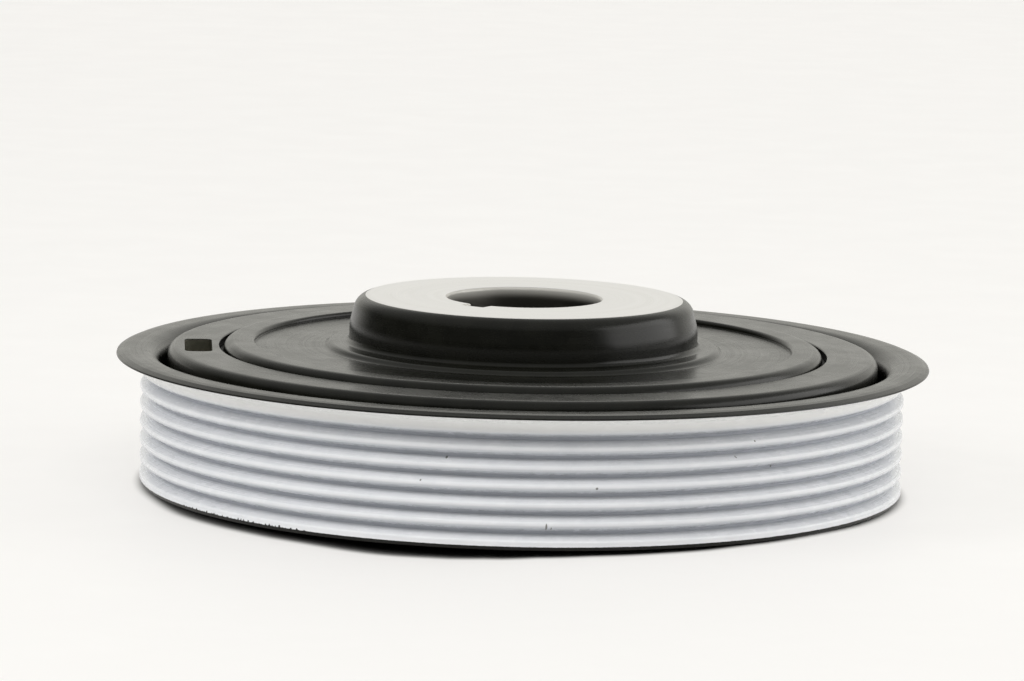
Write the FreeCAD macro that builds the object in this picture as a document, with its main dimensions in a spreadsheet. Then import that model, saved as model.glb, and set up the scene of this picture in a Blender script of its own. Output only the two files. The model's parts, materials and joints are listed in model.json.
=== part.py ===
import FreeCAD, Part
import os
import Sketcher

# Crankshaft pulley with a rubber-coupled vibration damper inside its rim.
# Origin at the centre of the plane that the hub's nose stands on, +Z along the bore
# towards the machined boss face that meets the engine. All sizes are in millimetres.

SIZES = [
    # Belt track of the pulley
    ("groove_count", 6, "grooves of the belt track"),
    ("groove_pitch", 3.56, "from one groove to the next"),
    ("groove_angle", 40, "between the two flanks, degrees"),
    ("groove_depth", 2.75, "from crest to groove bottom"),
    ("groove_bottom_width", 0.5, "flat at the groove bottom"),
    ("lowest_groove_height", 3.15, "centre of the lowest groove above the rim's foot"),
    ("track_radius", 76.9, "crests of the belt track"),
    ("cut_overrun", 0.4, "how far a cutter starts outside the metal"),
    # Rim, flange and web of the pulley
    ("rim_wall", 4.1, "rim, from its inner wall to the crests"),
    ("flange_over_groove", 5.55, "top of the flange above the centre of the highest groove"),
    ("foot_chamfer", 0.7, "outer edge of the rim's foot"),
    ("flange_reach", 4.9, "flange's edge beyond the crests"),
    ("flange_land_reach", 3.0, "outer end of the flange's level top, beyond the crests"),
    ("flange_lip_width", 1.3, "level lip along the flange's edge"),
    ("flange_edge_drop", 0.28, "step from the level top down to the lip"),
    ("flange_edge_thickness", 0.55, "thickness at the edge"),
    ("flange_root_drop", 2.4, "where the flange leaves the track, below the rim's top"),
    ("flange_root_rounding", 1.5, "hollow corner under the flange"),
    ("flange_edge_rounding", 0.2, "rounding of the flange's edge"),
    ("lip_rounding", 3.9, "bend from the rim's inner wall into the flange's top"),
    ("pulley_web_recess", 5.25, "web above the rim's foot"),
    ("pulley_web_thickness", 3.0, "sheet thickness of the web"),
    ("pulley_corner_rounding", 1.6, "inner corners between web and rim"),
    ("weld_leg", 2.0, "leg of the weld between web and hub"),
    ("web_fit_clearance", 0.02, "radial play of the web on the hub's spigot"),
    # Hub
    ("bore_radius", 15.5, "bore for the crankshaft nose"),
    ("bore_chamfer", 0.7, "mouths of the bore"),
    ("keyway_width", 5.0, "keyway"),
    ("keyway_depth", 3.0, "keyway, from the bore wall"),
    ("keyway_azimuth", 236.4, "keyway direction about +Z, degrees"),
    ("boss_height", 9.3, "boss face above the base ring"),
    ("boss_wall", 18.15, "boss, from the bore to the flank at the height of its face"),
    ("boss_flank_spread", 1.45, "how far the flank widens down to its upright foot"),
    ("boss_flank_start", 3.6, "upright foot of the flank above the base ring"),
    ("boss_shoulder_rounding", 3.0, "rounding between flank and face"),
    ("boss_foot_rounding", 1.2, "hollow corner between the flank's foot and the base ring"),
    ("base_ring_width", 4.4, "raised ring around the boss's foot"),
    ("base_ring_height", 1.0, "raised ring above the hub web"),
    ("base_ring_rounding", 0.6, "outer edge of the raised ring"),
    ("hub_web_thickness", 7.0, "hub web"),
    ("collar_rise", 1.1, "collar's top above the inertia ring"),
    ("collar_height", 1.0, "collar above the hub web"),
    ("collar_width", 6.3, "raised collar, across its top"),
    ("collar_rounding", 2.0, "outer shoulder of the collar"),
    ("collar_lip", 4.4, "collar's top down to the rubber track"),
    ("rubber_track_depth", 1.9, "rubber track turned into the collar wall"),
    ("skirt_wall", 6.0, "hub's skirt, inwards from the floor of the rubber track"),
    ("spigot_step", 1.9, "spigot that centres the pulley web, inside the skirt's outer wall"),
    ("spigot_projection", 2.4, "spigot beyond the underside of the pulley web"),
    ("nose_wall", 4.5, "front nose around the recess for the bolt's washer"),
    ("nose_projection", 1.45, "nose's end below the rim's foot"),
    ("washer_seat_width", 7.0, "recess for the bolt's washer, from the bore outwards"),
    ("washer_seat_depth", 1.2, "recess for the bolt's washer"),
    ("hub_corner_rounding", 3.0, "inner corners of the hub's front hollow"),
    # Rubber and inertia ring
    ("rubber_mouth", 0.9, "gap between collar wall and inertia ring"),
    ("rubber_recess", 1.6, "rubber below the inertia ring's top face"),
    ("inertia_ring_rise", 0.95, "inertia ring's top above the flange"),
    ("inertia_ring_width", 10.3, "inertia ring, between its bore and its outer wall"),
    ("ring_web_clearance", 1.5, "running gap between inertia ring and pulley web"),
    ("rim_gap", 1.3, "running gap between inertia ring and rim"),
    ("ring_top_rounding", 2.0, "outer upper edge of the inertia ring"),
    ("ring_edge_chamfer", 0.8, "lower edges of the inertia ring"),
    ("slot_inset", 4.2, "centre of the balance slot from the inertia ring's bore"),
    ("slot_azimuth", 185.4, "balance slot's direction about +Z, degrees"),
    ("slot_width", 5.4, "balance slot, along the radius"),
    ("slot_length", 17.4, "balance slot, across the radius"),
    ("slot_depth", 6.0, "balance slot"),
    ("slot_corner", 1.5, "corners of the balance slot"),
]

MATCH = 1e-4


def fill_sheet(doc):
    sheet = doc.addObject("Spreadsheet::Sheet", "sizes")
    for row, (alias, value, meaning) in enumerate(SIZES, start=1):
        sheet.set(f"A{row}", alias)
        sheet.set(f"B{row}", str(value))
        sheet.set(f"C{row}", meaning)
        sheet.setAlias(f"B{row}", alias)
    doc.recompute()
    return sheet


def new_body(doc, label):
    body = doc.addObject("PartDesign::Body", label)
    body.Label = label
    return body


def origin_feature(body, role):
    return next(item for item in body.Origin.OriginFeatures if item.Role == role)


def add_sketch(body, name, plane):
    sketch = body.newObject("Sketcher::SketchObject", name)
    sketch.AttachmentSupport = [(origin_feature(body, plane), "")]
    sketch.MapMode = "FlatFace"
    return sketch


def place(sketch, corner, direction, text, same_as_last):
    """Fix one coordinate of a corner to an expression, or keep its side level or upright."""
    if same_as_last:
        side = "Vertical" if direction == "X" else "Horizontal"
        sketch.addConstraint(Sketcher.Constraint(side, corner - 1))
    elif text == "0":
        axis = -2 if direction == "X" else -1
        sketch.addConstraint(Sketcher.Constraint("PointOnObject", corner, 1, axis))
    else:
        value = sketch.evalExpression(text)
        number = sketch.addConstraint(
            Sketcher.Constraint("Distance" + direction, -1, 1, corner, 1, float(value))
        )
        name = f"{'across' if direction == 'X' else 'up'}_{corner}"
        sketch.renameConstraint(number, name)
        sketch.setExpression("Constraints." + name, text)


def draw_outline(sketch, corners):
    """Closed outline of straight sides; each corner is a pair of expressions."""
    points = [
        FreeCAD.Vector(float(sketch.evalExpression(x)), float(sketch.evalExpression(y)), 0)
        for x, y in corners
    ]
    for start, end in zip(points, points[1:] + points[:1]):
        sketch.addGeometry(Part.LineSegment(start, end), False)
    last = len(corners) - 1
    for corner in range(last + 1):
        following = 0 if corner == last else corner + 1
        sketch.addConstraint(Sketcher.Constraint("Coincident", corner, 2, following, 1))
    for corner, (x, y) in enumerate(corners):
        level = corner > 0 and y == corners[corner - 1][1]
        upright = corner > 0 and x == corners[corner - 1][0]
        place(sketch, corner, "X", x, upright)
        place(sketch, corner, "Y", y, level)


def revolve(body, name, corners, kind="PartDesign::Revolution"):
    sketch = add_sketch(body, name + "_outline", "XZ_Plane")
    draw_outline(sketch, corners)
    feature = body.newObject(kind, name)
    feature.Profile = sketch
    feature.ReferenceAxis = (sketch, ["V_Axis"])
    feature.Angle = 360
    body.Document.recompute()
    return feature


def ring_edges(feature, rings):
    """Names of the circular edges that lie at the given radius and height expressions."""
    wanted = [
        (float(feature.evalExpression(r)), float(feature.evalExpression(z))) for r, z in rings
    ]
    names = []
    for number, edge in enumerate(feature.Shape.Edges, start=1):
        if isinstance(edge.Curve, Part.Circle):
            here = (edge.Curve.Radius, edge.Curve.Center.z)
            if any(abs(here[0] - r) < MATCH and abs(here[1] - z) < MATCH for r, z in wanted):
                names.append(f"Edge{number}")
    if len(names) < len(rings):
        raise RuntimeError(f"{feature.Name}: edges found for only {len(names)} of {len(rings)}")
    return names


def round_edges(body, name, size, names):
    base = body.Tip
    fillet = body.newObject("PartDesign::Fillet", name)
    fillet.Base = (base, names)
    fillet.setExpression("Radius", size)
    body.Document.recompute()
    return fillet


def round_rings(body, name, size, rings):
    return round_edges(body, name, size, ring_edges(body.Tip, rings))


def cut_pocket(body, name, sketch, depth=None):
    before = body.Shape.Volume
    pocket = body.newObject("PartDesign::Pocket", name)
    pocket.Profile = sketch
    if depth is None:
        pocket.Type = "ThroughAll"
        pocket.Reversed = True
    else:
        pocket.setExpression("Length", depth)
    body.Document.recompute()
    if not body.Shape.Volume < before:
        raise RuntimeError(f"{name} cut nothing")
    return pocket


# Heights that follow from the sheet, upwards from the nose's end
FOOT = "sizes.nose_projection"
WEB_FOOT = FOOT + " + sizes.pulley_web_recess"
WEB_TOP = WEB_FOOT + " + sizes.pulley_web_thickness"
SPIGOT_END = WEB_FOOT + " - sizes.spigot_projection"
LOWEST_GROOVE = FOOT + " + sizes.lowest_groove_height"
HIGHEST_GROOVE = LOWEST_GROOVE + " + sizes.groove_pitch * (sizes.groove_count - 1)"
RIM_TOP = HIGHEST_GROOVE + " + sizes.flange_over_groove"
FLANGE_ROOT = RIM_TOP + " - sizes.flange_root_drop"
EDGE_TOP = RIM_TOP + " - sizes.flange_edge_drop"
EDGE_FOOT = EDGE_TOP + " - sizes.flange_edge_thickness"
RING_TOP = RIM_TOP + " + sizes.inertia_ring_rise"
RING_FOOT = WEB_TOP + " + sizes.ring_web_clearance"
RUBBER_TOP = RING_TOP + " - sizes.rubber_recess"
COLLAR_TOP = RING_TOP + " + sizes.collar_rise"
TRACK_TOP = COLLAR_TOP + " - sizes.collar_lip"
TRACK_STEP = TRACK_TOP + " - sizes.rubber_track_depth"
HUB_WEB_TOP = COLLAR_TOP + " - sizes.collar_height"
HUB_WEB_FOOT = HUB_WEB_TOP + " - sizes.hub_web_thickness"
BASE_TOP = HUB_WEB_TOP + " + sizes.base_ring_height"
BOSS_FACE = BASE_TOP + " + sizes.boss_height"

# Radii inwards from the belt track, then outwards from the bore
FLANGE_EDGE = "sizes.track_radius + sizes.flange_reach"
FLANGE_LAND = "sizes.track_radius + sizes.flange_land_reach"
RIM_BORE = "sizes.track_radius - sizes.rim_wall"
RING_WALL = RIM_BORE + " - sizes.rim_gap"
RING_BORE = RING_WALL + " - sizes.inertia_ring_width"
SLOT_CENTRE = RING_BORE + " + sizes.slot_inset"
COLLAR = RING_BORE + " - sizes.rubber_mouth"
COLLAR_INNER = COLLAR + " - sizes.collar_width"
TRACK_FLOOR = COLLAR + " - sizes.rubber_track_depth"
SPIGOT = TRACK_FLOOR + " - sizes.spigot_step"
SKIRT_INNER = TRACK_FLOOR + " - sizes.skirt_wall"
WEB_HOLE = SPIGOT + " + sizes.web_fit_clearance"
WASHER_RECESS = "sizes.bore_radius + sizes.washer_seat_width"
NOSE = WASHER_RECESS + " + sizes.nose_wall"
BOSS_TOP = "sizes.bore_radius + sizes.boss_wall"
BOSS_FOOT = BOSS_TOP + " + sizes.boss_flank_spread"
BASE_RING = BOSS_FOOT + " + sizes.base_ring_width"


# Pulley: spun steel rim with a flared flange, and the web that is welded to the hub
def make_pulley_rim(doc):
    body = new_body(doc, "pulley_rim")
    revolve(
        body,
        "blank",
        [
            (WEB_HOLE, WEB_FOOT + " - sizes.weld_leg"),
            (WEB_HOLE + " + sizes.weld_leg", WEB_FOOT),
            (RIM_BORE, WEB_FOOT),
            (RIM_BORE, FOOT),
            ("sizes.track_radius - sizes.foot_chamfer", FOOT),
            ("sizes.track_radius", FOOT + " + sizes.foot_chamfer"),
            ("sizes.track_radius", FLANGE_ROOT),
            (FLANGE_EDGE, EDGE_FOOT),
            (FLANGE_EDGE, EDGE_TOP),
            (FLANGE_EDGE + " - sizes.flange_lip_width", EDGE_TOP),
            (FLANGE_LAND, RIM_TOP),
            (RIM_BORE, RIM_TOP),
            (RIM_BORE, WEB_TOP),
            (WEB_HOLE, WEB_TOP),
        ],
    )
    round_rings(
        body, "flange_edge", "sizes.flange_edge_rounding",
        [(FLANGE_EDGE, EDGE_FOOT), (FLANGE_EDGE, EDGE_TOP)],
    )
    round_rings(
        body, "flange_root", "sizes.flange_root_rounding",
        [("sizes.track_radius", FLANGE_ROOT)],
    )
    round_rings(body, "rim_lip", "sizes.lip_rounding", [(RIM_BORE, RIM_TOP)])
    round_rings(
        body, "web_corners", "sizes.pulley_corner_rounding",
        [(RIM_BORE, WEB_TOP), (RIM_BORE, WEB_FOOT)],
    )
    blank_volume = body.Shape.Volume
    slope = "tan(sizes.groove_angle / 2)"
    half_floor = "sizes.groove_bottom_width / 2"
    half_mouth = f"{half_floor} + (sizes.groove_depth + sizes.cut_overrun) * {slope}"
    groove = revolve(
        body,
        "belt_groove",
        [
            ("sizes.track_radius - sizes.groove_depth", f"{LOWEST_GROOVE} - {half_floor}"),
            ("sizes.track_radius + sizes.cut_overrun", f"{LOWEST_GROOVE} - ({half_mouth})"),
            ("sizes.track_radius + sizes.cut_overrun", f"{LOWEST_GROOVE} + {half_mouth}"),
            ("sizes.track_radius - sizes.groove_depth", f"{LOWEST_GROOVE} + {half_floor}"),
        ],
        "PartDesign::Groove",
    )
    one_groove = blank_volume - body.Shape.Volume
    pattern = body.newObject("PartDesign::LinearPattern", "belt_grooves")
    pattern.Originals = [groove]
    pattern.Direction = (origin_feature(body, "Z_Axis"), [""])
    pattern.setExpression("Length", "sizes.groove_pitch * (sizes.groove_count - 1)")
    pattern.setExpression("Occurrences", "sizes.groove_count")
    body.Tip = pattern
    doc.recompute()
    cut = blank_volume - body.Shape.Volume
    if one_groove <= 0 or cut < one_groove * (pattern.Occurrences - 0.01):
        raise RuntimeError("the belt grooves weren't all cut")
    return body


# Hub: one casting with boss, web, collar, skirt and front nose
def make_hub(doc):
    body = new_body(doc, "hub")
    revolve(
        body,
        "casting",
        [
            ("sizes.bore_radius", "sizes.washer_seat_depth + sizes.bore_chamfer"),
            ("sizes.bore_radius + sizes.bore_chamfer", "sizes.washer_seat_depth"),
            (WASHER_RECESS, "sizes.washer_seat_depth"),
            (WASHER_RECESS, "0"),
            (NOSE, "0"),
            (NOSE, HUB_WEB_FOOT),
            (SKIRT_INNER, HUB_WEB_FOOT),
            (SKIRT_INNER, SPIGOT_END),
            (SPIGOT, SPIGOT_END),
            (SPIGOT, WEB_TOP),
            (TRACK_FLOOR, WEB_TOP),
            (TRACK_FLOOR, TRACK_STEP),
            (COLLAR, TRACK_TOP),
            (COLLAR, COLLAR_TOP),
            (COLLAR_INNER, COLLAR_TOP),
            (COLLAR_INNER, HUB_WEB_TOP),
            (BASE_RING, HUB_WEB_TOP),
            (BASE_RING, BASE_TOP),
            (BOSS_FOOT, BASE_TOP),
            (BOSS_FOOT, BASE_TOP + " + sizes.boss_flank_start"),
            (BOSS_TOP, BOSS_FACE),
            ("sizes.bore_radius + sizes.bore_chamfer", BOSS_FACE),
            ("sizes.bore_radius", BOSS_FACE + " - sizes.bore_chamfer"),
        ],
    )
    round_rings(body, "boss_shoulder", "sizes.boss_shoulder_rounding", [(BOSS_TOP, BOSS_FACE)])
    round_rings(body, "boss_foot", "sizes.boss_foot_rounding", [(BOSS_FOOT, BASE_TOP)])
    round_rings(body, "collar_shoulder", "sizes.collar_rounding", [(COLLAR, COLLAR_TOP)])
    round_rings(body, "base_ring_edge", "sizes.base_ring_rounding", [(BASE_RING, BASE_TOP)])
    round_rings(
        body, "front_hollow_corners", "sizes.hub_corner_rounding",
        [(NOSE, HUB_WEB_FOOT), (SKIRT_INNER, HUB_WEB_FOOT)],
    )
    sketch = add_sketch(body, "keyway_outline", "XY_Plane")
    sketch.setExpression(".AttachmentOffset.Rotation.Angle", "sizes.keyway_azimuth")
    half = "sizes.keyway_width / 2"
    reach = "sizes.bore_radius + sizes.keyway_depth"
    draw_outline(sketch, [("0", "-" + half), (reach, "-" + half), (reach, half), ("0", half)])
    cut_pocket(body, "keyway", sketch)
    return body


# Rubber: one bonded ring that fills the track between the collar and the inertia ring
def make_rubber_ring(doc):
    body = new_body(doc, "rubber_ring")
    revolve(
        body,
        "rubber",
        [
            (TRACK_FLOOR, RING_FOOT),
            (RING_BORE, RING_FOOT),
            (RING_BORE, RUBBER_TOP),
            (COLLAR, RUBBER_TOP),
            (COLLAR, TRACK_TOP),
            (TRACK_FLOOR, TRACK_STEP),
        ],
    )
    return body


# Inertia ring: turned iron ring that the rubber carries inside the rim, with its balance slot
def make_inertia_ring(doc):
    body = new_body(doc, "inertia_ring")
    revolve(
        body,
        "ring",
        [
            (RING_BORE, RING_FOOT),
            (RING_WALL + " - sizes.ring_edge_chamfer", RING_FOOT),
            (RING_WALL, RING_FOOT + " + sizes.ring_edge_chamfer"),
            (RING_WALL, RING_TOP),
            (RING_BORE, RING_TOP),
        ],
    )
    round_rings(body, "ring_top_edge", "sizes.ring_top_rounding", [(RING_WALL, RING_TOP)])
    sketch = add_sketch(body, "slot_outline", "XY_Plane")
    sketch.setExpression(".AttachmentOffset.Base.z", RING_TOP)
    sketch.setExpression(".AttachmentOffset.Rotation.Angle", "sizes.slot_azimuth")
    inner = SLOT_CENTRE + " - sizes.slot_width / 2"
    outer = SLOT_CENTRE + " + sizes.slot_width / 2"
    half = "sizes.slot_length / 2"
    draw_outline(sketch, [(inner, "-" + half), (outer, "-" + half), (outer, half), (inner, half)])
    slot = cut_pocket(body, "balance_slot", sketch, "sizes.slot_depth")
    depth = float(slot.Length)
    upright = [
        f"Edge{number}"
        for number, edge in enumerate(slot.Shape.Edges, start=1)
        if isinstance(edge.Curve, Part.Line)
        and abs(edge.Curve.Direction.z) > 1 - MATCH
        and abs(edge.Length - depth) < MATCH
    ]
    round_edges(body, "slot_corners", "sizes.slot_corner", upright)
    return body


def check(doc, bodies):
    for item in doc.Objects:
        if "Invalid" in item.State or "Error" in item.State:
            raise RuntimeError(f"{item.Name} is {item.State}")
    for body in bodies:
        if body.Shape.isNull() or not body.Shape.isValid() or len(body.Shape.Solids) != 1:
            raise RuntimeError(f"{body.Label} has no single valid solid")


def main():
    doc = FreeCAD.newDocument("harmonic_balancer")
    fill_sheet(doc)
    bodies = [
        make_hub(doc),
        make_pulley_rim(doc),
        make_rubber_ring(doc),
        make_inertia_ring(doc),
    ]
    doc.recompute()
    check(doc, bodies)
    os.makedirs("parts", exist_ok=True)
    for body in bodies:
        body.Shape.exportStep(f"parts/{body.Label}.step")
        box = body.Shape.BoundBox
        print(
            f"{body.Label}: {body.Shape.Volume / 1000:.1f} cm3,"
            f" radius {box.XMax:.2f}, z {box.ZMin:.2f} to {box.ZMax:.2f}"
        )


main()
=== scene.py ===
import json
import math

import bpy
from mathutils import Matrix, Vector


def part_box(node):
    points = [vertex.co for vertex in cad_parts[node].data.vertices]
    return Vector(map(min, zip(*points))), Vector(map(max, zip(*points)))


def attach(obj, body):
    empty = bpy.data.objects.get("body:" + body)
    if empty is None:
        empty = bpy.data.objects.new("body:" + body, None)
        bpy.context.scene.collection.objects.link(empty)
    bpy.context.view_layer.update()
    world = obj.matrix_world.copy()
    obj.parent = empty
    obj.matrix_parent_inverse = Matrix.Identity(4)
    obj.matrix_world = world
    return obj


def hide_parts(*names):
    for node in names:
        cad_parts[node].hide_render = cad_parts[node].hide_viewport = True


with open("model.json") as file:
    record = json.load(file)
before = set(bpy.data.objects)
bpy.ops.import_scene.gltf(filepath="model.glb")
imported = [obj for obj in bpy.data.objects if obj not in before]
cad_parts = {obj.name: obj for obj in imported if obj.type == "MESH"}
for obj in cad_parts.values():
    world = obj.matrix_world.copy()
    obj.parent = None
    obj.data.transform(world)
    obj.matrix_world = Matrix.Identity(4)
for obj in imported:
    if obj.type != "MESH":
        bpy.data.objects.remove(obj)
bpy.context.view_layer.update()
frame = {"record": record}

# Lengths below are in millimetres, as in the frame's drawing; meshes are made in metres
MM = 0.001


# Sizes that the frame gives
def node_box(name):
    low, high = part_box(name)
    return low / MM, high / MM


mounts = {mount["name"]: mount for mount in frame["record"]["mounts"]}
hub_low, hub_high = node_box("hub")
rim_low, rim_high = node_box("pulley_rim")
ring_low, ring_high = node_box("inertia_ring")
rubber_low, rubber_high = node_box("rubber_ring")

BORE = mounts["crank_bore"]["dims"]["r_mm"]
BOSS_FACE = hub_high.z
COLLAR = hub_high.x
FOOT = rim_low.z
RIM_TOP = rim_high.z
FLANGE_EDGE = rim_high.x
RING_WALL = ring_high.x
RING_BORE = rubber_high.x
RING_TOP = ring_high.z
RING_FOOT = ring_low.z
RUBBER_TOP = rubber_high.z

# Belt track: crests, six grooves and the coat that leaves the foot bare
CREST = FLANGE_EDGE - 4.9
GROOVES = 6
GROOVE_PITCH = 3.56
GROOVE_DEPTH = 2.75
GROOVE_FLANK = math.radians(20)
GROOVE_FLOOR = 0.5
LOWEST_GROOVE = FOOT + 3.15
CREST_UPPER_ROUNDING = 0.5
CREST_LOWER_ROUNDING = 0.8
FLOOR_ROUNDING = 0.22
COAT_FOOT = FOOT + 0.81
TOP_GROOVE_EDGE = LOWEST_GROOVE + (GROOVES - 1) * GROOVE_PITCH + 1.9

# Pulley rim, flange and web
RIM_BORE = CREST - 4.1
FLANGE_LAND = CREST + 3.0
LIP_WIDTH = 1.3
EDGE_TOP = RIM_TOP - 0.28
EDGE_FOOT = EDGE_TOP - 0.55
FLANGE_ROOT = RIM_TOP - 2.4
WEB_FOOT = FOOT + 5.25
WEB_TOP = WEB_FOOT + 3.0
SPIGOT = COLLAR - 3.8
WEB_HOLE = SPIGOT + 0.02
WELD_LEG = 2.0

# Hub
COLLAR_TOP = RING_TOP + 1.1
HUB_WEB_TOP = COLLAR_TOP - 1.0
BASE_TOP = HUB_WEB_TOP + 1.0
HUB_WEB_FOOT = HUB_WEB_TOP - 7.0
COLLAR_INNER = COLLAR - 6.3
TRACK_FLOOR = COLLAR - 1.9
TRACK_TOP = COLLAR_TOP - 4.4
SKIRT_INNER = TRACK_FLOOR - 6.0
SPIGOT_END = WEB_FOOT - 2.4
WASHER_SEAT = 1.2
WASHER_RECESS = BORE + 7.0
NOSE = WASHER_RECESS + 4.5
BOSS_TOP = BORE + 18.15
BOSS_FOOT = BOSS_TOP + 1.45
FLANK_START = BASE_TOP + 3.6
BASE_RING = BOSS_FOOT + 4.4
KEYWAY_WIDTH = 5.0
KEYWAY_REACH = BORE + 3.0
KEYWAY_AZIMUTH = math.radians(236.4)
KEYWAY_BREAK = 0.4

# Balance slot in the inertia ring
SLOT_CENTRE = RING_BORE + 4.2
SLOT_AZIMUTH = math.radians(185.4)
SLOT_WIDTH = 5.4
SLOT_LENGTH = 17.4
SLOT_DEPTH = 6.0
SLOT_CORNER = 1.5
SLOT_TILT = Matrix.Rotation(math.radians(-1.2), 2)
SLOT_BREAK = 0.15

# Lathe work: segments in a turn, angle between a rounding's points, broken edges,
# and the angle between faces from which an edge is shown sharp
SEGMENTS = 320
ARC_STEP = math.radians(15)
EDGE = 0.25
SHARP_ANGLE = math.radians(32)


# Lathe meshes
def arc_points(corner, before, after, rounding):
    """Points of the arc that rounds a corner, from its first side to its second."""
    to_before = (before - corner).normalized()
    to_after = (after - corner).normalized()
    half = to_before.angle(to_after) / 2
    centre = corner + (to_before + to_after).normalized() * (rounding / math.sin(half))
    start = corner + to_before * (rounding / math.tan(half)) - centre
    sweep = math.pi - 2 * half
    turn = 1 if to_before.x * to_after.y - to_before.y * to_after.x < 0 else -1
    steps = max(3, math.ceil(sweep / ARC_STEP))
    points = []
    for step in range(steps + 1):
        angle = turn * sweep * step / steps
        rotated = Vector((
            start.x * math.cos(angle) - start.y * math.sin(angle),
            start.x * math.sin(angle) + start.y * math.cos(angle),
        ))
        points.append(centre + rotated)
    return points


def rounded_outline(corners):
    """Closed outline from corners given as (radius, height, rounding)."""
    places = [Vector(corner[:2]) for corner in corners]
    points = []
    for number, place in enumerate(places):
        before = places[number - 1]
        after = places[(number + 1) % len(places)]
        points += arc_points(place, before, after, corners[number][2])
    return points


def lathe(name, corners):
    """Mesh object made by turning a rounded outline about the bore axis."""
    outline = rounded_outline(corners)
    count = len(outline)
    vertices = []
    for segment in range(SEGMENTS):
        angle = 2 * math.pi * segment / SEGMENTS
        across, along = math.cos(angle) * MM, math.sin(angle) * MM
        vertices += [(point.x * across, point.x * along, point.y * MM) for point in outline]
    faces = []
    for segment in range(SEGMENTS):
        here = segment * count
        there = (segment + 1) % SEGMENTS * count
        for number in range(count):
            following = (number + 1) % count
            faces.append((here + number, there + number, there + following, here + following))
    mesh = bpy.data.meshes.new(name)
    mesh.from_pydata(vertices, [], faces)
    mesh.validate()
    piece = bpy.data.objects.new(name, mesh)
    bpy.context.scene.collection.objects.link(piece)
    return piece


def prism(name, outline, levels):
    """Cutter with an upright outline; levels are pairs of height and outward offset."""
    middle = sum((Vector(point) for point in outline), Vector((0, 0))) / len(outline)
    vertices = []
    for height, offset in levels:
        for point in outline:
            away = (Vector(point) - middle).normalized() * offset
            vertices.append(((point[0] + away.x) * MM, (point[1] + away.y) * MM, height * MM))
    count = len(outline)
    faces = [tuple(reversed(range(count)))]
    for level in range(len(levels) - 1):
        base = level * count
        for number in range(count):
            following = (number + 1) % count
            faces.append((base + number, base + following,
                          base + count + following, base + count + number))
    faces.append(tuple(range((len(levels) - 1) * count, len(levels) * count)))
    mesh = bpy.data.meshes.new(name)
    mesh.from_pydata(vertices, [], faces)
    cutter = bpy.data.objects.new(name, mesh)
    bpy.context.scene.collection.objects.link(cutter)
    return cutter


def apply_modifiers(piece):
    graph = bpy.context.evaluated_depsgraph_get()
    mesh = bpy.data.meshes.new_from_object(piece.evaluated_get(graph))
    piece.modifiers.clear()
    piece.data = mesh


def cut(piece, cutter):
    boolean = piece.modifiers.new("cut", "BOOLEAN")
    boolean.operation = "DIFFERENCE"
    boolean.solver = "EXACT"
    boolean.object = cutter
    apply_modifiers(piece)
    bpy.data.objects.remove(cutter)


def finish_normals(piece):
    """Smooth shading that stays flat on the faces between the roundings."""
    piece.data.shade_smooth()
    piece.data.set_sharp_from_angle(angle=SHARP_ANGLE)
    weighted = piece.modifiers.new("normals", "WEIGHTED_NORMAL")
    weighted.mode = "FACE_AREA"
    weighted.keep_sharp = True
    apply_modifiers(piece)


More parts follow.
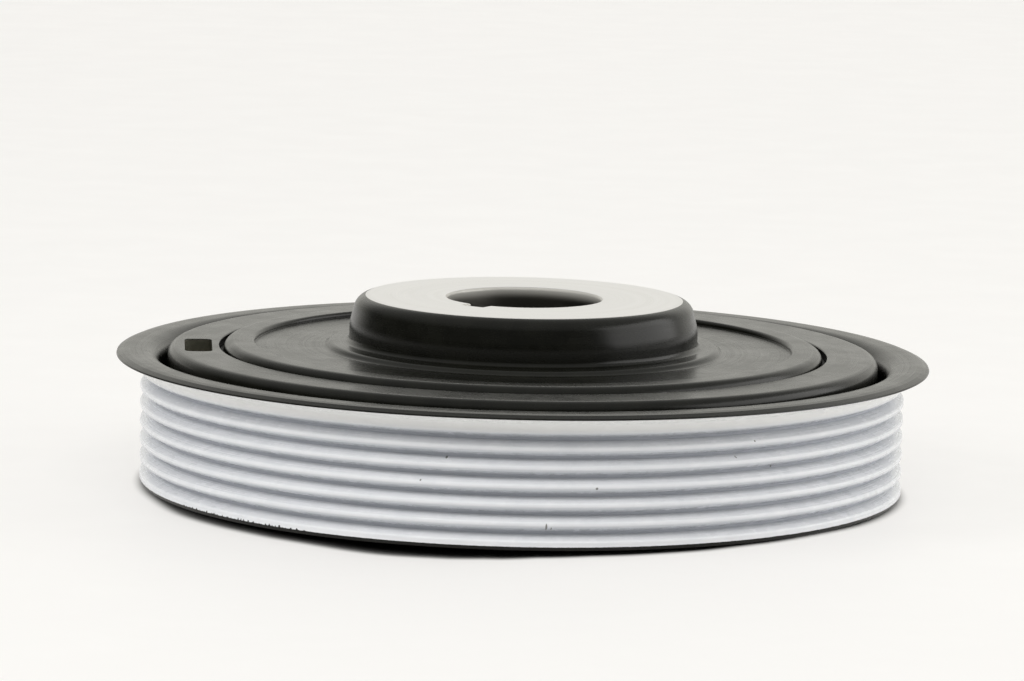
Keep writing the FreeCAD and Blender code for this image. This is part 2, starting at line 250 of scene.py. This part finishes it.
# Materials
class Nodes:
    """Short spellings for building one material's node tree."""

    def __init__(self, name):
        self.material = bpy.data.materials.new(name)
        self.material.use_nodes = True
        self.tree = self.material.node_tree
        self.tree.nodes.clear()
        output = self.tree.nodes.new("ShaderNodeOutputMaterial")
        self.shader = self.tree.nodes.new("ShaderNodeBsdfPrincipled")
        self.tree.links.new(self.shader.outputs["BSDF"], output.inputs["Surface"])
        self.position = self.add("ShaderNodeTexCoord").outputs["Object"]

    def add(self, kind, **settings):
        node = self.tree.nodes.new(kind)
        for key, value in settings.items():
            setattr(node, key, value)
        return node

    def feed(self, socket, value):
        if isinstance(value, bpy.types.NodeSocket):
            self.tree.links.new(value, socket)
        elif value is not None:
            socket.default_value = value

    def math(self, operation, first, second=None):
        node = self.add("ShaderNodeMath", operation=operation)
        for socket, value in zip(node.inputs, (first, second)):
            self.feed(socket, value)
        return node.outputs[0]

    def product(self, first, second):
        return self.math("MULTIPLY", first, second)

    def without(self, share):
        return self.math("SUBTRACT", 1.0, share)

    def axes(self):
        """Radius and height in millimetres, and azimuth in radians, at the shaded point."""
        parts = self.add("ShaderNodeSeparateXYZ")
        self.feed(parts.inputs[0], self.position)
        x, y, z = parts.outputs
        square = self.math("ADD", self.product(x, x), self.product(y, y))
        radius = self.math("DIVIDE", self.math("SQRT", square), MM)
        return radius, self.math("DIVIDE", z, MM), self.math("ARCTAN2", y, x)

    def combine(self, x, y, z):
        node = self.add("ShaderNodeCombineXYZ")
        for socket, value in zip(node.inputs, (x, y, z)):
            self.feed(socket, value)
        return node.outputs[0]

    def noise(self, vector, scale, detail, rough):
        node = self.add("ShaderNodeTexNoise")
        self.feed(node.inputs["Vector"], vector)
        node.inputs["Scale"].default_value = scale
        node.inputs["Detail"].default_value = detail
        node.inputs["Roughness"].default_value = rough
        return node.outputs["Fac"]

    def ranged(self, value, low, high, to_low, to_high):
        """Value carried from one range to another, kept between the new range's ends."""
        node = self.add("ShaderNodeMapRange")
        for socket, number in zip(node.inputs, (value, low, high, to_low, to_high)):
            self.feed(socket, number)
        return node.outputs["Result"]

    def step(self, value, low, high):
        """0 below low, 1 above high, smooth between."""
        node = self.add("ShaderNodeMapRange", interpolation_type="SMOOTHSTEP")
        for socket, number in zip(node.inputs, (value, low, high, 0.0, 1.0)):
            self.feed(socket, number)
        return node.outputs["Result"]

    def mix(self, factor, first, second):
        node = self.add("ShaderNodeMix", data_type="RGBA")
        self.feed(node.inputs["Factor"], factor)
        self.feed(node.inputs["A"], first)
        self.feed(node.inputs["B"], second)
        return node.outputs["Result"]

    def bump(self, height, strength, distance, normal=None):
        """Bump whose distance is in millimetres."""
        node = self.add("ShaderNodeBump")
        self.feed(node.inputs["Strength"], strength)
        node.inputs["Distance"].default_value = distance * MM
        self.feed(node.inputs["Height"], height)
        self.feed(node.inputs["Normal"], normal)
        return node.outputs["Normal"]

    def set(self, **sockets):
        for key, value in sockets.items():
            self.feed(self.shader.inputs[key.replace("_", " ")], value)


# Colours and gloss of the materials
BLACK_COAT = (0.0026, 0.0027, 0.0016, 1)
BLACK_COAT_WORN = (0.0060, 0.0061, 0.0040, 1)
BLACK_GLOSS = 0.26
PALE_COAT = ((0.68, 0.695, 0.72, 1), (0.73, 0.74, 0.76, 1))
# Painted shade: the pale coat is darker where it faces down below the crests
PALE_COAT_PAINTED_SHADE_FACING_DOWN = (0.57, 0.59, 0.625, 1)
# Painted shade: the pale coat is darker on the groove floors
PALE_COAT_PAINTED_SHADE_IN_GROOVES = (0.50, 0.52, 0.57, 1)
# Painted light: the pale coat is lighter just under the flange
PALE_COAT_PAINTED_LIGHT_UNDER_FLANGE = (0.83, 0.835, 0.83, 1)
MARK_COLOUR = (0.20, 0.20, 0.19, 1)
BOSS_METAL = ((0.78, 0.775, 0.785, 1), (0.74, 0.735, 0.74, 1))
SLOT_METAL = ((0.34, 0.33, 0.27, 1), (0.24, 0.235, 0.19, 1))
# Bore wall: painted shade deep in the bore, painted highlight at its mouth
BORE_METAL_PAINTED_SHADE = (0.16, 0.155, 0.14, 1)
BORE_MOUTH_PAINTED_LIGHT = (0.50, 0.49, 0.455, 1)
RUBBER = ((0.010, 0.010, 0.010, 1), (0.022, 0.021, 0.020, 1))


def black_coat(nodes, turned, bare=1.0):
    """Colour, roughness and normal of the satin black dip coat; bare is 0 under another coat."""
    radius, height, _ = nodes.axes()
    mottle = nodes.noise(nodes.position, 160, 4, 0.6)
    colour = nodes.mix(nodes.ranged(mottle, 0.35, 0.7, 0, 1), BLACK_COAT, BLACK_COAT_WORN)
    peel = nodes.noise(nodes.position, 1500, 3, 0.55)
    turning = nodes.noise(nodes.combine(radius, height, 0.0), 2.6, 3, 0.7)
    roughness = nodes.math("ADD", nodes.ranged(mottle, 0.3, 0.7, 0.23, 0.30),
                           nodes.ranged(turning, 0.3, 0.7, -0.02, 0.03))
    normal = nodes.bump(turning, nodes.product(bare, 0.35 if turned else 0.12), 0.02)
    normal = nodes.bump(peel, nodes.product(bare, 0.25), 0.012, normal)
    return colour, roughness, normal


def make_black(name, turned):
    nodes = Nodes(name)
    colour, roughness, normal = black_coat(nodes, turned)
    nodes.set(Base_Color=colour, Roughness=roughness, Normal=normal, Specular_IOR_Level=BLACK_GLOSS)
    return nodes.material


# Marks on the pale coat: azimuth in degrees, height, half width and half length
MARKS = (
    (-100.8, 18.4, 0.25, 0.22),
    (-104.2, 14.1, 0.20, 0.18),
    (-79.3, 13.4, 0.30, 0.28),
    (-86.3, 6.0, 0.22, 0.9),
    (-85.6, 5.7, 0.15, 0.4),
    (-50.1, 15.4, 0.25, 0.22),
    (-54.9, 21.1, 0.22, 0.20),
    (-57.5, 18.1, 0.20, 0.18),
)


# The pale coat's lower edge is nicked between these azimuths in degrees, fading in and out
NICKS_START = (-154, -142)
NICKS_END = (-126, -120)
NICK_DEPTH = 0.48


def coat_mask(nodes, radius, height, azimuth, around):
    """1 on the belt track, 0 on the foot, the flange's edge and top, and the inside."""
    ragged = nodes.noise(around, 1.1, 3, 0.7)
    chips = nodes.noise(nodes.combine(nodes.product(azimuth, CREST), 0.0, 0.0), 1.2, 2, 0.65)
    worn = nodes.product(
        nodes.step(azimuth, math.radians(NICKS_START[0]), math.radians(NICKS_START[1])),
        nodes.without(nodes.step(azimuth, math.radians(NICKS_END[0]), math.radians(NICKS_END[1]))),
    )
    lift = nodes.product(nodes.product(worn, nodes.step(chips, 0.48, 0.66)), NICK_DEPTH)
    foot = nodes.math("ADD", lift, nodes.ranged(ragged, 0.2, 0.8, COAT_FOOT - 0.05, COAT_FOOT + 0.05))
    above_foot = nodes.step(nodes.math("SUBTRACT", height, foot), -0.03, 0.03)
    below_edge = nodes.without(nodes.step(height, EDGE_FOOT - 0.12, EDGE_FOOT - 0.06))
    inner_limit = nodes.ranged(height, TOP_GROOVE_EDGE, TOP_GROOVE_EDGE + 0.1,
                               CREST - 3.3, CREST - 0.35)
    outside = nodes.step(nodes.math("SUBTRACT", radius, inner_limit), 0.0, 0.05)
    return nodes.product(nodes.product(above_foot, below_edge), outside)


def make_track_coat():
    """Pale coat on the belt track, with painted shade on its down-facing sides and in the groove
    floors and painted light under the flange; the foot, flange and inside stay in the black coat.
    """
    nodes = Nodes("pulley_coat")
    radius, height, azimuth = nodes.axes()
    around = nodes.combine(nodes.product(azimuth, CREST), height, 0.0)
    coated = coat_mask(nodes, radius, height, azimuth, around)
    black, black_roughness, black_normal = black_coat(nodes, True, nodes.without(coated))

    tone = nodes.noise(around, 0.22, 3, 0.5)
    pale = nodes.mix(nodes.ranged(tone, 0.3, 0.7, 0, 1), *PALE_COAT)
    normal_z = nodes.add("ShaderNodeSeparateXYZ")
    nodes.feed(normal_z.inputs[0], nodes.add("ShaderNodeNewGeometry").outputs["Normal"])
    # Painted shade: the down-facing sides of the crests below the flange are darkened
    painted_shade_facing_down = nodes.without(nodes.step(normal_z.outputs[2], -0.45, 0.0))
    below_flange = nodes.without(nodes.step(height, FLANGE_ROOT - 2.0, FLANGE_ROOT - 1.5))
    pale = nodes.mix(nodes.product(painted_shade_facing_down, below_flange), pale, PALE_COAT_PAINTED_SHADE_FACING_DOWN)
    # Painted shade in the groove floors: the coat is darkened towards the bottom of each groove
    groove_floor = CREST - GROOVE_DEPTH
    above_floor = nodes.step(radius, groove_floor + 0.02, groove_floor + 0.25)
    pale = nodes.mix(above_floor, PALE_COAT_PAINTED_SHADE_IN_GROOVES, pale)
    # Painted light: the coat is lightened just under the flange
    painted_light_under_flange = nodes.step(height, FLANGE_ROOT - 2.0, FLANGE_ROOT - 0.8)
    pale = nodes.mix(painted_light_under_flange, pale, PALE_COAT_PAINTED_LIGHT_UNDER_FLANGE)
    for mark_azimuth, mark_height, width, length in MARKS:
        turned = nodes.math("SUBTRACT", azimuth, math.radians(mark_azimuth))
        across = nodes.math("DIVIDE", turned, width / CREST)
        along = nodes.math("DIVIDE", nodes.math("SUBTRACT", height, mark_height), length)
        reach = nodes.math("ADD", nodes.product(across, across), nodes.product(along, along))
        pale = nodes.mix(nodes.step(reach, 0.4, 1.0), MARK_COLOUR, pale)
    nodes.set(
        Base_Color=nodes.mix(coated, black, pale),
        Roughness=black_roughness,
        Normal=nodes.bump(coated, 0.6, 0.03, black_normal),
        Specular_IOR_Level=BLACK_GLOSS,
    )
    return nodes.material


def make_machined(name, colours, rough_low, rough_high):
    """Bare turned metal with fine concentric tool marks."""
    nodes = Nodes(name)
    radius, height, azimuth = nodes.axes()
    marks = nodes.noise(nodes.combine(radius, height, 0.0), 6.5, 3, 0.75)
    wide = nodes.noise(nodes.combine(radius, height, nodes.product(azimuth, 0.4)), 0.7, 2, 0.5)
    nodes.set(
        Base_Color=nodes.mix(nodes.ranged(wide, 0.3, 0.7, 0, 1), *colours),
        Metallic=1.0,
        Roughness=nodes.ranged(marks, 0.3, 0.7, rough_low, rough_high),
        Normal=nodes.bump(marks, 0.3, 0.012),
    )
    return nodes.material


def make_bore_wall():
    """Bored wall with a painted highlight at its mouth, pale and less metallic, and painted shade
    further in, dark metal.
    """
    nodes = Nodes("bore_wall")
    radius, height, _ = nodes.axes()
    marks = nodes.noise(nodes.combine(radius, height, 0.0), 6.5, 3, 0.75)
    # Painted highlight near the bore's mouth, fading into painted shade further in
    mouth = nodes.step(height, BOSS_FACE - 2.6, BOSS_FACE - 0.4)
    nodes.set(
        Base_Color=nodes.mix(mouth, BORE_METAL_PAINTED_SHADE, BORE_MOUTH_PAINTED_LIGHT),
        Metallic=nodes.without(nodes.product(mouth, 0.8)),
        Roughness=nodes.ranged(marks, 0.3, 0.7, 0.32, 0.45),
        Normal=nodes.bump(marks, 0.3, 0.012),
    )
    return nodes.material


def make_rubber():
    nodes = Nodes("rubber")
    grain = nodes.noise(nodes.position, 900, 4, 0.6)
    nodes.set(
        Base_Color=nodes.mix(grain, *RUBBER),
        Roughness=nodes.ranged(grain, 0.3, 0.7, 0.62, 0.78),
        Normal=nodes.bump(grain, 0.5, 0.05),
    )
    return nodes.material


# Pieces
def finish_piece(piece, node, materials):
    for material in materials:
        piece.data.materials.append(material)
    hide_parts(node)
    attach(piece, "root")


def make_rim():
    """Spun rim with the belt track, its flared flange and the web that meets the hub."""
    half_floor = GROOVE_FLOOR / 2
    half_mouth = half_floor + GROOVE_DEPTH * math.tan(GROOVE_FLANK)
    corners = [
        (WEB_HOLE, WEB_FOOT - WELD_LEG, EDGE),
        (WEB_HOLE + WELD_LEG, WEB_FOOT, 0.4),
        (RIM_BORE, WEB_FOOT, 1.6),
        (RIM_BORE, FOOT, EDGE),
        (CREST, FOOT, 0.75),
    ]
    for groove in range(GROOVES):
        middle = LOWEST_GROOVE + groove * GROOVE_PITCH
        corners += [
            (CREST, middle - half_mouth, CREST_UPPER_ROUNDING),
            (CREST - GROOVE_DEPTH, middle - half_floor, FLOOR_ROUNDING),
            (CREST - GROOVE_DEPTH, middle + half_floor, FLOOR_ROUNDING),
            (CREST, middle + half_mouth, CREST_LOWER_ROUNDING),
        ]
    corners += [
        (CREST, FLANGE_ROOT, 1.5),
        (FLANGE_EDGE, EDGE_FOOT - 0.08, 0.08),
        (FLANGE_EDGE - 0.12, EDGE_FOOT + 0.2, 0.15),
        (FLANGE_EDGE - LIP_WIDTH, RIM_TOP - 0.14, 0.4),
        (FLANGE_LAND - 0.5, RIM_TOP, 0.5),
        (RIM_BORE, RIM_TOP, 3.9),
        (RIM_BORE, WEB_TOP, 1.6),
        (WEB_HOLE, WEB_TOP, EDGE),
    ]
    rim = lathe("pulley", corners)
    finish_normals(rim)
    finish_piece(rim, "pulley_rim", [make_track_coat()])


def make_hub():
    """Casting with boss, web, collar, skirt and nose, and the keyed bore."""
    corners = [
        (BORE, WASHER_SEAT, 0.7),
        (WASHER_RECESS, WASHER_SEAT, 0.3),
        (WASHER_RECESS, 0, EDGE),
        (NOSE, 0, 0.5),
        (NOSE, HUB_WEB_FOOT, 3.0),
        (SKIRT_INNER, HUB_WEB_FOOT, 3.0),
        (SKIRT_INNER, SPIGOT_END, EDGE),
        (SPIGOT, SPIGOT_END, EDGE),
        (SPIGOT, WEB_TOP, 0.2),
        (TRACK_FLOOR, WEB_TOP, 0.3),
        (TRACK_FLOOR, TRACK_TOP - 1.9, 0.5),
        (COLLAR, TRACK_TOP, 0.5),
        (COLLAR, COLLAR_TOP, 2.0),
        (COLLAR_INNER, COLLAR_TOP, 0.8),
        (COLLAR_INNER, HUB_WEB_TOP, 0.1),
        (BASE_RING + 0.6, HUB_WEB_TOP, 1.6),
        (BASE_RING - 0.5, BASE_TOP, 1.4),
        (BOSS_FOOT, BASE_TOP, 1.2),
        (BOSS_FOOT, FLANK_START, 9.0),
        (BOSS_TOP, BOSS_FACE, 3.0),
        (BORE, BOSS_FACE, 0.7),
    ]
    hub = lathe("hub_casting", corners)
    half = KEYWAY_WIDTH / 2
    key = [(BORE - 6, -half), (KEYWAY_REACH, -half), (KEYWAY_REACH, half), (BORE - 6, half)]
    turn = Matrix.Rotation(KEYWAY_AZIMUTH, 2)
    key = [tuple(turn @ Vector(point)) for point in key]
    key_top = BOSS_FACE - KEYWAY_BREAK
    cut(hub, prism("key_cutter", key, [(-1, 0), (key_top, 0), (key_top + 1.4, 1.4)]))
    finish_normals(hub)
    finish_piece(hub, "hub", [
        make_black("hub_coat", False),
        make_machined("boss_face", BOSS_METAL, 0.27, 0.36),
        make_bore_wall(),
    ])
    for face in hub.data.polygons:
        centre = face.center / MM
        radius = math.hypot(centre.x, centre.y)
        if face.normal.z > 0.9 and centre.z > BOSS_FACE - 0.3 and radius < BOSS_TOP - 2.0:
            face.material_index = 1
        elif radius < WASHER_RECESS - 0.5 and centre.z < BOSS_FACE + 0.1:
            face.material_index = 2


def make_inertia_ring():
    """Turned ring with rounded top edge and the balance slot."""
    ring = lathe("inertia_weight", [
        (RING_BORE, RING_FOOT, EDGE),
        (RING_WALL, RING_FOOT, 0.8),
        (RING_WALL, RING_TOP, 2.0),
        (RING_BORE, RING_TOP, 0.3),
    ])
    turn = Matrix.Rotation(SLOT_AZIMUTH, 2)
    centre = Vector((SLOT_CENTRE, 0))
    outline = []
    for out, along in ((1, 1), (-1, 1), (-1, -1), (1, -1)):
        corner = Vector((SLOT_CENTRE + out * (SLOT_WIDTH / 2 - SLOT_CORNER),
                         along * (SLOT_LENGTH / 2 - SLOT_CORNER)))
        first = math.atan2(along, out) - math.pi / 4
        for step in range(7):
            angle = first + math.pi / 2 * step / 6
            edge = Vector((math.cos(angle), math.sin(angle))) * SLOT_CORNER
            place = SLOT_TILT @ (corner + edge - centre) + centre
            outline.append(tuple(turn @ place))
    cut(ring, prism("slot_cutter", outline, [
        (RING_TOP - SLOT_DEPTH, 0), (RING_TOP - SLOT_BREAK, 0), (RING_TOP - SLOT_BREAK + 1, 1)]))
    finish_normals(ring)
    finish_piece(ring, "inertia_ring", [
        make_black("ring_coat", True),
        make_machined("slot_wall", SLOT_METAL, 0.5, 0.6),
    ])
    for face in ring.data.polygons:
        centre = face.center / MM
        radius = math.hypot(centre.x, centre.y)
        in_slot = RING_TOP - SLOT_DEPTH - 0.1 < centre.z < RING_TOP - 0.1
        if in_slot and RING_BORE + 0.5 < radius < RING_WALL - 2.5:
            face.material_index = 1


def make_rubber_ring():
    """Bonded rubber between the hub's track and the inertia ring."""
    rubber = lathe("rubber_band", [
        (TRACK_FLOOR, RING_FOOT, 0.2),
        (RING_BORE, RING_FOOT, 0.2),
        (RING_BORE, RUBBER_TOP, 0.2),
        (COLLAR, RUBBER_TOP, 0.2),
        (COLLAR, TRACK_TOP, 0.2),
        (TRACK_FLOOR, TRACK_TOP - 1.9, 0.2),
    ])
    finish_normals(rubber)
    finish_piece(rubber, "rubber_ring", [make_rubber()])


# Stage: the part's nose sinks into a soft glowing sheet, which comes up to the rim and sags at the
# front left. Its glow is painted light that lifts the part's shadow on the sheet just outside the rim
# and fades out under the rim. The gaps are pairs of an azimuth in degrees and the gap under the rim's
# foot there.
SHEET_GAPS = (
    (-180, 0.3), (-163, 0.6), (-148, 1.35), (-136, 1.4), (-126, 1.55), (-109, 2.15), (-101, 2.0),
    (-93, 1.65), (-86, 1.2), (-78, 0.9), (-66, 0.7), (-54, 0.35), (-42, 0.17), (-28, 0.42),
    (0, 0.5), (90, 0.4), (180, 0.3),
)
FLOOR_REACH = 12000
FLOOR_CENTRE = 10
FLOOR_GROWTH = 1.1
FLOOR_SPOKES = 144
FLOOR_COLOUR = ((0.27, 0.27, 0.265, 1), (0.29, 0.29, 0.285, 1))
SHEET_GLOW_PAINTED_LIGHT = 0.565
FAR_GLOW = 0.045
GLOW_COLOUR = (1.0, 0.977, 0.952, 1)


def ease(value, low, high):
    """0 below low, 1 above high, smooth between."""
    share = min(1, max(0, (value - low) / (high - low)))
    return share * share * (3 - 2 * share)


def floor_height(radius, azimuth):
    """Height of the sheet in millimetres."""
    degrees = (math.degrees(azimuth) + 180) % 360 - 180
    for (low, low_gap), (high, high_gap) in zip(SHEET_GAPS, SHEET_GAPS[1:]):
        if low <= degrees <= high:
            gap = low_gap + (high_gap - low_gap) * ease(degrees, low, high)
    return (FOOT - gap) * ease(radius, NOSE + 4, CREST - 6) * (1 - ease(radius, 110, 600))


def make_floor():
    rings = [0, FLOOR_CENTRE]
    while rings[-1] * FLOOR_GROWTH < FLOOR_REACH:
        rings.append(rings[-1] * FLOOR_GROWTH)
    rings.append(FLOOR_REACH)
    vertices, faces = [], []
    for radius in rings:
        for spoke in range(FLOOR_SPOKES):
            angle = 2 * math.pi * spoke / FLOOR_SPOKES
            place = Vector((math.cos(angle), math.sin(angle), 0)) * radius
            place.z = floor_height(radius, angle)
            vertices.append(tuple(place * MM))
    for ring in range(len(rings) - 1):
        inner, outer = ring * FLOOR_SPOKES, (ring + 1) * FLOOR_SPOKES
        for spoke in range(FLOOR_SPOKES):
            following = (spoke + 1) % FLOOR_SPOKES
            faces.append((inner + spoke, outer + spoke, outer + following, inner + following))
    mesh = bpy.data.meshes.new("floor")
    mesh.from_pydata(vertices, [], faces)
    mesh.validate()
    mesh.shade_smooth()
    floor = bpy.data.objects.new("floor", mesh)
    bpy.context.scene.collection.objects.link(floor)
    nodes = Nodes("floor")
    radius, _, _ = nodes.axes()
    paper = nodes.noise(nodes.position, 40, 4, 0.6)
    # Painted light: the sheet glows from just inside the rim outwards, lifting the part's shadow
    glow = nodes.product(nodes.step(radius, CREST - 1.6, CREST + 1.8), SHEET_GLOW_PAINTED_LIGHT)
    far_glow = nodes.product(nodes.step(radius, 300, 1600), FAR_GLOW)
    nodes.set(
        Base_Color=nodes.mix(paper, *FLOOR_COLOUR),
        Roughness=nodes.ranged(paper, 0.3, 0.7, 0.55, 0.65),
        Normal=nodes.bump(paper, 0.1, 0.05),
        Emission_Color=GLOW_COLOUR,
        Emission_Strength=nodes.math("ADD", glow, far_glow),
    )
    floor.data.materials.append(nodes.material)


# Name, place and target in metres, width and height, watts, colour, and whether it shows in gloss
LIGHTS = (
    ("side", (1.2, 0.0, 0.50), (0, 0, 0.03), (1.5, 0.8), 9, (1.0, 0.99, 0.97), True),
    ("front", (0.15, -1.2, 1.35), (0, 0, 0), (1.6, 1.0), 12, (1.0, 0.99, 0.98), False),
    ("fill", (-1.2, -0.5, 0.8), (0, 0, 0), (1.0, 0.8), 12, (1.0, 0.99, 0.98), False),
    ("backdrop", (0.1, 1.1, 1.5), (0, 0.9, 0), (2.6, 1.4), 4, (1.0, 0.99, 0.97), False),
)

# World: the room's brightness low down and overhead, and the backdrop's direction and brightness
ROOM_LOW = (0.03, 0.032, 0.028, 1)
ROOM_HIGH = (0.62, 0.62, 0.60, 1)
BACKDROP_LEAN = (0.13, 0.93, -0.33)
BACKDROP = (0.90, 0.885, 0.82, 1)
BLACK = (0, 0, 0, 1)

# Camera fitted to the photo; lens, sensor and place are in millimetres
CAMERA_LENS = 173.92
CAMERA_SENSOR = 36
CAMERA_PLACE = (-2.264, -988.09, 169.79)
CAMERA_ELEVATION = math.radians(8.03)
CAMERA_ROLL = math.radians(1.324)


def make_light(name, place, target, size, power, colour, glossy):
    data = bpy.data.lights.new(name, "AREA")
    data.energy = power
    data.color = colour
    data.shape = "RECTANGLE"
    data.size, data.size_y = size
    light = bpy.data.objects.new(name, data)
    light.location = place
    light.rotation_euler = (Vector(target) - Vector(place)).to_track_quat("-Z", "Y").to_euler()
    light.visible_camera = False
    light.visible_glossy = glossy
    bpy.context.scene.collection.objects.link(light)


def make_world():
    """Dim studio, lighter overhead, with a bright backdrop low behind the part."""
    world = bpy.data.worlds.new("studio")
    world.use_nodes = True
    tree = world.node_tree
    background = tree.nodes["Background"]
    direction = tree.nodes.new("ShaderNodeTexCoord").outputs["Generated"]

    def band(lean, low, high, dim, bright):
        dot = tree.nodes.new("ShaderNodeVectorMath")
        dot.operation = "DOT_PRODUCT"
        dot.inputs[1].default_value = lean
        tree.links.new(direction, dot.inputs[0])
        share = tree.nodes.new("ShaderNodeMapRange")
        share.interpolation_type = "SMOOTHSTEP"
        share.inputs["From Min"].default_value = low
        share.inputs["From Max"].default_value = high
        tree.links.new(dot.outputs["Value"], share.inputs["Value"])
        ramp = tree.nodes.new("ShaderNodeValToRGB")
        ramp.color_ramp.elements[0].color = dim
        ramp.color_ramp.elements[1].color = bright
        tree.links.new(share.outputs["Result"], ramp.inputs["Fac"])
        return ramp.outputs["Color"]

    overhead = band((0, 0, 1), 0.1, 0.85, ROOM_LOW, ROOM_HIGH)
    backdrop = band(BACKDROP_LEAN, 0.35, 0.80, BLACK, BACKDROP)
    total = tree.nodes.new("ShaderNodeMix")
    total.data_type = "RGBA"
    total.blend_type = "ADD"
    total.inputs["Factor"].default_value = 1.0
    tree.links.new(overhead, total.inputs["A"])
    tree.links.new(backdrop, total.inputs["B"])
    tree.links.new(total.outputs["Result"], background.inputs["Color"])
    bpy.context.scene.world = world


def make_camera():
    data = bpy.data.cameras.new("camera")
    data.lens = CAMERA_LENS
    data.sensor_width = CAMERA_SENSOR
    camera = bpy.data.objects.new("camera", data)
    place = Matrix.Translation(Vector(CAMERA_PLACE) * MM)
    tilt = Matrix.Rotation(math.radians(90) - CAMERA_ELEVATION, 4, "X")
    camera.matrix_world = place @ tilt @ Matrix.Rotation(CAMERA_ROLL, 4, "Z")
    data.clip_start, data.clip_end = 0.01, 100
    bpy.context.scene.collection.objects.link(camera)
    bpy.context.scene.camera = camera


make_camera()
make_world()
for light in LIGHTS:
    make_light(*light)
make_floor()
make_rim()
make_hub()
make_inertia_ring()
make_rubber_ring()

settings = bpy.context.scene.view_settings
settings.view_transform = "Standard"
settings.look = "None"
settings.exposure = 0
settings.gamma = 1
